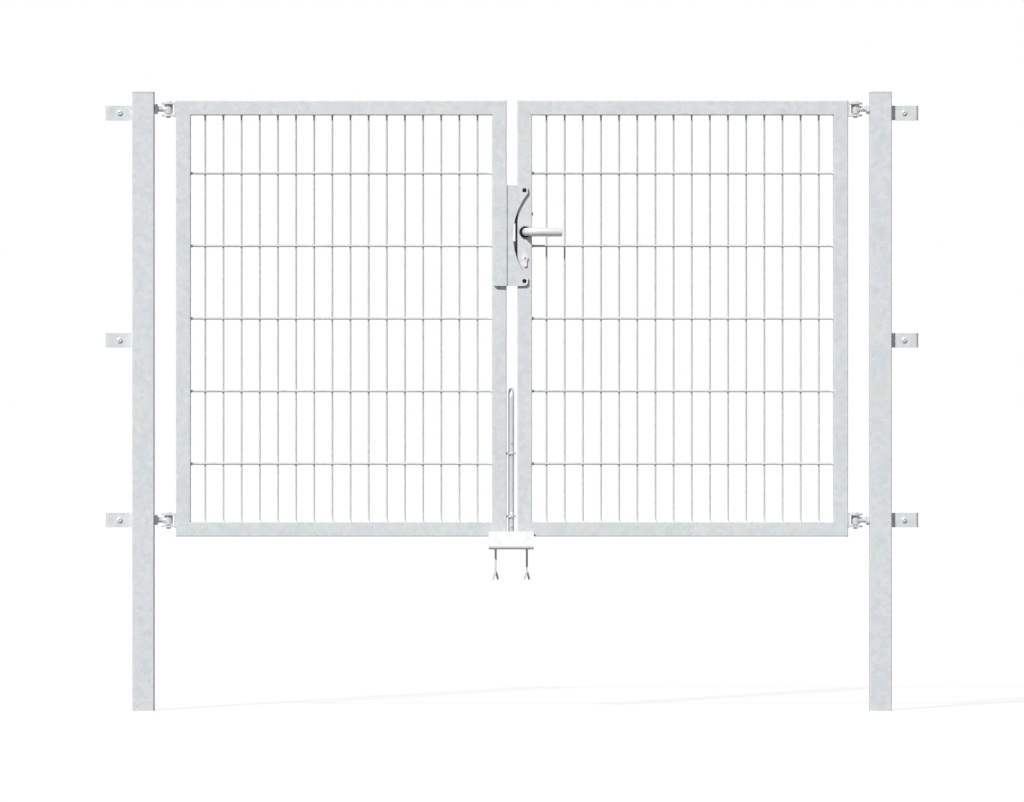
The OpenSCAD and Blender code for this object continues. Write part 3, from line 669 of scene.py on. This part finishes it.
def eye_bolt(node, out, z):
    """Threaded shank, widening neck and rounded eye. Returns the eye's place in X."""
    low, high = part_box(node)
    start_x = low.x if out > 0 else high.x
    eye_x = (high.x - EYE_R) if out > 0 else (low.x + EYE_R)
    neck_x = eye_x - out * NECK_OUT
    along = (out, 0, 0)
    bolt = Shape()
    thread(bolt, facing((start_x, 0, z), along), abs(neck_x - start_x), SHANK_R, SHANK_PITCH)
    neck = [(0.96 * SHANK_R, -0.001), (0.96 * SHANK_R, 0.002), (1.04 * SHANK_R, 0.0045),
            (1.18 * SHANK_R, 0.0072), (1.18 * SHANK_R, 0.0085)]
    bolt.turned(facing((neck_x, 0, z), along), neck)
    half, soft = EYE_H / 2, 0.0012
    rim = 0.3 * soft
    edge = [(EYE_BORE, rim), (EYE_BORE + rim, 0.0), (EYE_R - soft, 0.0), (EYE_R - rim, rim), (EYE_R, soft)]
    lower = [(r, -half + inset) for r, inset in edge]
    upper = [(r, half - inset) for r, inset in reversed(edge)]
    bolt.turned(facing((eye_x, 0, z), (0, 0, 1)), lower + upper, 48, closed=True)
    bolt.piece(node + "_turned", "root", "zinc_plated", [node])
    return eye_x


def pin(shape, middle):
    """Headed hinge pin that hangs in the clevis."""
    head_r, head_h, tail = 0.0085, 0.0035, 0.004
    foot, top = -CLEVIS_HALF - tail, CLEVIS_HALF + head_h
    profile = [(PIN_R - 0.001, foot), (PIN_R, foot + 0.001), (PIN_R, CLEVIS_HALF),
               (head_r - 0.0004, CLEVIS_HALF), (head_r, CLEVIS_HALF + 0.0004),
               (head_r, top - 0.0009), (head_r - 0.0009, top)]
    shape.turned(Matrix.Translation(Vector(middle)), profile, 40)


def clamp_screws(side):
    """Button-head screws with a hexagon socket, and their nuts."""
    node = side + "_clamp_screws"
    low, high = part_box(node)
    x = (low.x + high.x) / 2
    lug_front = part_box(side + "_fence_lugs")[0].y
    plate_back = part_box(side + "_clamp_plates")[1].y
    r, socket = SCREW_HEAD_R, hexagon(SCREW_SOCKET)
    head = [(r, 0.0), (r, 0.0008), (0.97 * r, 0.0016), (0.88 * r, 0.0027), (0.74 * r, 0.0036),
            (0.56 * r, 0.0043), (0.46 * r, 0.0045), (socket, 0.0045), (socket, 0.0023)]
    shape = Shape()
    for z in lug_heights(side):
        shape.turned(facing((x, lug_front, z), (0, -1, 0)), head, 36)
        thread(shape, facing((x, lug_front, z), (0, 1, 0)), high.y - lug_front, SCREW_R, SCREW_PITCH)
        nut_place = facing((x, plate_back, z), (0, 1, 0))
        hex_nut(shape, nut_place, SCREW_NUT_FLATS, SCREW_NUT_T, SCREW_NUT_BORE)
    shape.piece(side + "_screws", "root", "zinc_plated", [node])


# Caps, buffers, lock and handle

def rounded_square(half, corner, z):
    steps = 6
    ring = []
    for q in range(4):
        cx = (half - corner) * (1 if q in (0, 3) else -1)
        cy = (half - corner) * (1 if q in (0, 1) else -1)
        for k in range(steps + 1):
            a = math.pi / 2 * (q + k / steps)
            ring.append(Vector((cx + corner * math.cos(a), cy + corner * math.sin(a), z)))
    return ring


def post_cap(side):
    """Plastic cap: a lid with a soft upper edge, slightly crowned, on a plug."""
    node = side + "_post_cap"
    low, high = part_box(node)
    centre = Vector(((low.x + high.x) / 2, (low.y + high.y) / 2, 0))
    lid, edge, crown, corner = 0.005, 0.0016, 0.0006, 0.003
    plug = POST_HALF - 0.002
    base, rim = high.z - lid, high.z - crown
    outline = [
        (plug - 0.002, 0.001, low.z), (plug - 0.0005, 0.0015, low.z + 0.002), (plug, 0.002, base),
        (POST_HALF - 0.0004, 0.0027, base), (POST_HALF, corner, base + 0.0004),
        (POST_HALF, corner, rim - edge), (POST_HALF - 0.3 * edge, corner, rim - 0.3 * edge),
        (POST_HALF - edge, corner, rim), (0.6 * POST_HALF, corner, high.z - 0.0001),
        (0.25 * POST_HALF, corner, high.z)]
    shape = Shape()
    shape.loft([[point + centre for point in rounded_square(*level)] for level in outline])
    shape.piece(side + "_cap", "root", "grey_plastic", [node])


def buffers():
    """Rubber buffers: a domed button, a stem through the ear and a pad with soft edges."""
    low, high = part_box("stop_buffers")
    x = (low.x + high.x) / 2
    pad_r, button_r, stem_r = 0.007, 0.0058, 0.0035
    ear_front = low.y + 0.0012
    ear_back = ear_front + 0.003
    profile = [
        (pad_r - 0.001, -high.y), (pad_r - 0.0003, -high.y + 0.0003), (pad_r, -high.y + 0.001),
        (pad_r, -ear_back), (stem_r, -ear_back), (stem_r, -ear_front), (button_r, -ear_front),
        (button_r, -ear_front + 0.0004), (0.88 * button_r, -ear_front + 0.0009),
        (0.6 * button_r, -low.y), (0.2 * button_r, -low.y)]
    shape = Shape()
    for z in (low.z + pad_r, high.z - pad_r):
        shape.turned(facing((x, 0, z), (0, -1, 0)), profile, 32)
    shape.piece("rubber_buffers", "left_leaf", "black_rubber", ["stop_buffers"])


def lever(side, sign):
    """Lever handle: a neck, and a round rod bent from it to a straight grip with a soft free end."""
    node = side + "_lever"
    low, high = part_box(node)
    rod_r, neck_r, neck_shift, bend, soft = 0.01075, 0.008, 0.0025, 0.036, 0.0012
    rod_x = low.x + rod_r
    z = (low.z + high.z) / 2
    start = TUBE / 2 + 0.0085
    reach = (-low.y if sign < 0 else high.y) - rod_r
    straight = reach - bend - start
    turn = bend * math.radians(90)
    length = straight + turn + high.x - rod_x - bend

    def ring(s, radius):
        """Ring of the rod at the length s from its foot: out from the leaf, round the bend, along it."""
        sides = 48
        angle = min(max((s - straight) / bend, 0.0), math.pi / 2)
        out = min(s, straight) + start + bend * math.sin(angle)
        along = rod_x + bend * (1 - math.cos(angle)) + max(0.0, s - straight - bend * math.pi / 2)
        points = []
        for k in range(sides):
            a = 2 * math.pi * k / sides
            across = radius * math.cos(a)
            points.append(Vector((along + across * math.cos(angle),
                                  sign * (out - across * math.sin(angle)),
                                  z + radius * math.sin(a))))
        return points

    foot = []
    for k in range(6):
        a = math.radians(18 * k)
        foot.append((soft * (1 - math.cos(a)), rod_r - soft * (1 - math.sin(a))))
    curve = [(straight + turn * k / 14, rod_r) for k in range(15)]
    tip = [(length - s, r) for s, r in reversed(foot)]
    neck_place = facing((rod_x - neck_shift, sign * (TUBE / 2 + 0.0005), z), (0, sign, 0))
    shape = Shape()
    shape.turned(neck_place, [(neck_r, 0.0), (neck_r, 0.0090)], 40)
    shape.loft([ring(s, r) for s, r in foot + curve + tip])
    shape.piece(side + "_handle", "lever_handle", "satin_aluminium", [node])


def roses():
    """Round black roses with a chamfer and a turned step."""
    low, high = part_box("handle_roses")
    x, z = (low.x + high.x) / 2, (low.z + high.z) / 2
    rose_r, inner, thick = 0.016, 0.0081, 0.008
    profile = [
        (inner, 0.0), (rose_r, 0.0), (rose_r, thick - 0.0024), (rose_r - 0.0006, thick - 0.0010),
        (rose_r - 0.0022, thick), (inner + 0.0022, thick), (inner + 0.0018, thick - 0.0006),
        (inner, thick - 0.0006)]
    shape = Shape()
    for s in (-1, 1):
        shape.turned(facing((x, s * TUBE / 2, z), (0, s, 0)), profile, 56, closed=True)
    shape.piece("black_roses", "right_leaf", "black_plastic", ["handle_roses"])


def cylinder_outline(grow):
    """Outline of a profile lock cylinder, inset by a negative grow."""
    r, s = CYLINDER_R + grow, STEM_HALF + grow
    gap = math.asin(s / r)
    top_steps, stem_steps = 24, 8
    points = []
    for k in range(top_steps + 1):
        a = -math.pi / 2 + gap + (2 * math.pi - 2 * gap) * k / top_steps
        points.append((r * math.cos(a), r * math.sin(a)))
    for k in range(stem_steps + 1):
        a = math.pi + math.pi * k / stem_steps
        points.append((s * math.cos(a), -STEM_DOWN + s * math.sin(a)))
    return points


def lock_cylinder():
    """Profile cylinder with a raised ring on both faces, and a near-black slot in each keyway that paints
    the shade of its depth.
    """
    low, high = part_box("lock_cylinder")
    x = (low.x + high.x) / 2
    z = high.z - CYLINDER_R
    chamfer = 0.0004
    rings = []
    for grow, y in ((-chamfer, low.y), (0, low.y + chamfer), (0, high.y - chamfer), (-chamfer, high.y)):
        rings.append([Vector((x + px, y, z + pz)) for px, pz in cylinder_outline(grow)])
    keyway = upright_slot(*KEYWAY_HALF)
    face_ring = [(0.0058, -0.0002), (0.0058, 0.00035), (0.0053, 0.0006),
                 (keyway, 0.0006), (keyway, 0.00005)]
    shape, slots = Shape(), Shape()
    shape.loft(rings)
    for s, y in ((-1, low.y), (1, high.y)):
        place = facing((x, y, z), (0, s, 0))
        # Near-black slot inside the keyway: painted shade where the keyway's depth falls dark.
        slots.turned(place, [(keyway, -0.0010), (keyway, 0.00008)], 40)
        shape.turned(place, face_ring, 40)
    shape.piece("profile_cylinder", "right_leaf", "nickel", ["lock_cylinder"])
    slots.piece("painted_shade_keyways", "right_leaf", "dark_steel")


def case_screw():
    """Button-head screw of the lock case, on the inner side of the right lock stile."""
    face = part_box("right_lock_stile")[1].x
    low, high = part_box("handle_roses")
    z = (low.z + high.z) / 2 + CASE_SCREW_UP
    r, socket = 0.0055, hexagon(0.0035)
    head = [(r, 0.0), (r, 0.0006), (0.93 * r, 0.0014), (0.78 * r, 0.0021), (0.55 * r, 0.0026),
            (socket, 0.0027), (socket, 0.0012)]
    shape = Shape()
    shape.turned(facing((face, 0, z), (1, 0, 0)), head, 36)
    # Near-black finish: painted shade on the screw, which faces away from the lamp.
    shape.piece("lock_case_screw", "right_leaf", "dark_steel")


# Setting

def seen_by_eye(tree):
    """1 for camera, glossy and transmission rays, otherwise 0."""
    path = tree.nodes.new("ShaderNodeLightPath")
    shiny = math_node(tree, "MAXIMUM", path.outputs["Is Glossy Ray"], path.outputs["Is Transmission Ray"])
    return math_node(tree, "MAXIMUM", path.outputs["Is Camera Ray"], shiny)


def sky():
    """Plain surroundings: white to the camera and in gloss, and a soft fill on the object."""
    world = bpy.data.worlds.new("studio")
    bpy.context.scene.world = world
    world.use_nodes = True
    tree = world.node_tree
    back = tree.nodes["Background"]
    back.inputs["Color"].default_value = (1, 1, 1, 1)
    tree.links.new(spread(tree, seen_by_eye(tree), FILL, 1.0), back.inputs["Strength"])


def key_light():
    """One distant lamp from the upper left front, as bright as the share of it that a front face gets."""
    lamp = bpy.data.lights.new("key", "SUN")
    lamp.angle = KEY_ANGLE
    lamp.energy = KEY_SHARE * math.pi / KEY_DIRECTION.y
    obj = bpy.data.objects.new("key", lamp)
    bpy.context.scene.collection.objects.link(obj)
    obj.rotation_euler = KEY_DIRECTION.to_track_quat("-Z", "Y").to_euler()


def floor():
    """Pale floor that keeps a soft trace of the gate's shadow."""
    half = FLOOR_HALF
    z = CAD_BOX[0].z
    mesh = bpy.data.meshes.new("floor")
    mesh.from_pydata([(-half, -half, z), (half, -half, z), (half, half, z), (-half, half, z)],
                     [], [(0, 1, 2, 3)])
    obj = bpy.data.objects.new("floor", mesh)
    bpy.context.scene.collection.objects.link(obj)
    material, tree, shader = surface("pale_floor", (FLOOR_TONE,) * 3, 0.0, 1.0)
    shader.inputs["Specular IOR Level"].default_value = 0.0
    shader.inputs["Emission Color"].default_value = (1, 1, 1, 1)
    tree.links.new(spread(tree, seen_by_eye(tree), 0.0, FLOOR_GLOW), shader.inputs["Emission Strength"])
    mesh.materials.append(material)


def camera():
    """Camera straight in front, far off, that frames the gate as the photograph does."""
    data = bpy.data.cameras.new("camera")
    data.sensor_width = SENSOR_W
    data.lens = SENSOR_W * CAMERA_DISTANCE * PIXELS_PER_M / PHOTO_W
    data.clip_end = 200.0
    obj = bpy.data.objects.new("camera", data)
    bpy.context.scene.collection.objects.link(obj)
    middle_x = (CAD_BOX[0].x + CAD_BOX[1].x) / 2
    middle_z = (FOOT_ROW - PHOTO_H / 2) / PIXELS_PER_M
    obj.location = (middle_x, -CAMERA_DISTANCE, middle_z)
    obj.rotation_euler = (math.radians(90), 0, 0)
    bpy.context.scene.camera = obj


def gate():
    dress_nodes()
    for side in ("left", "right"):
        wire_mesh(side)
        leaf_welds(side)
        post_welds(side)
        hinge_set(side)
        clamp_screws(side)
        post_cap(side)
    ground_welds()
    buffers()
    roses()
    lock_cylinder()
    case_screw()
    lever("front", -1)
    lever("rear", 1)


bpy.context.scene.view_settings.view_transform = "Standard"
gate()
sky()
key_light()
floor()
camera()
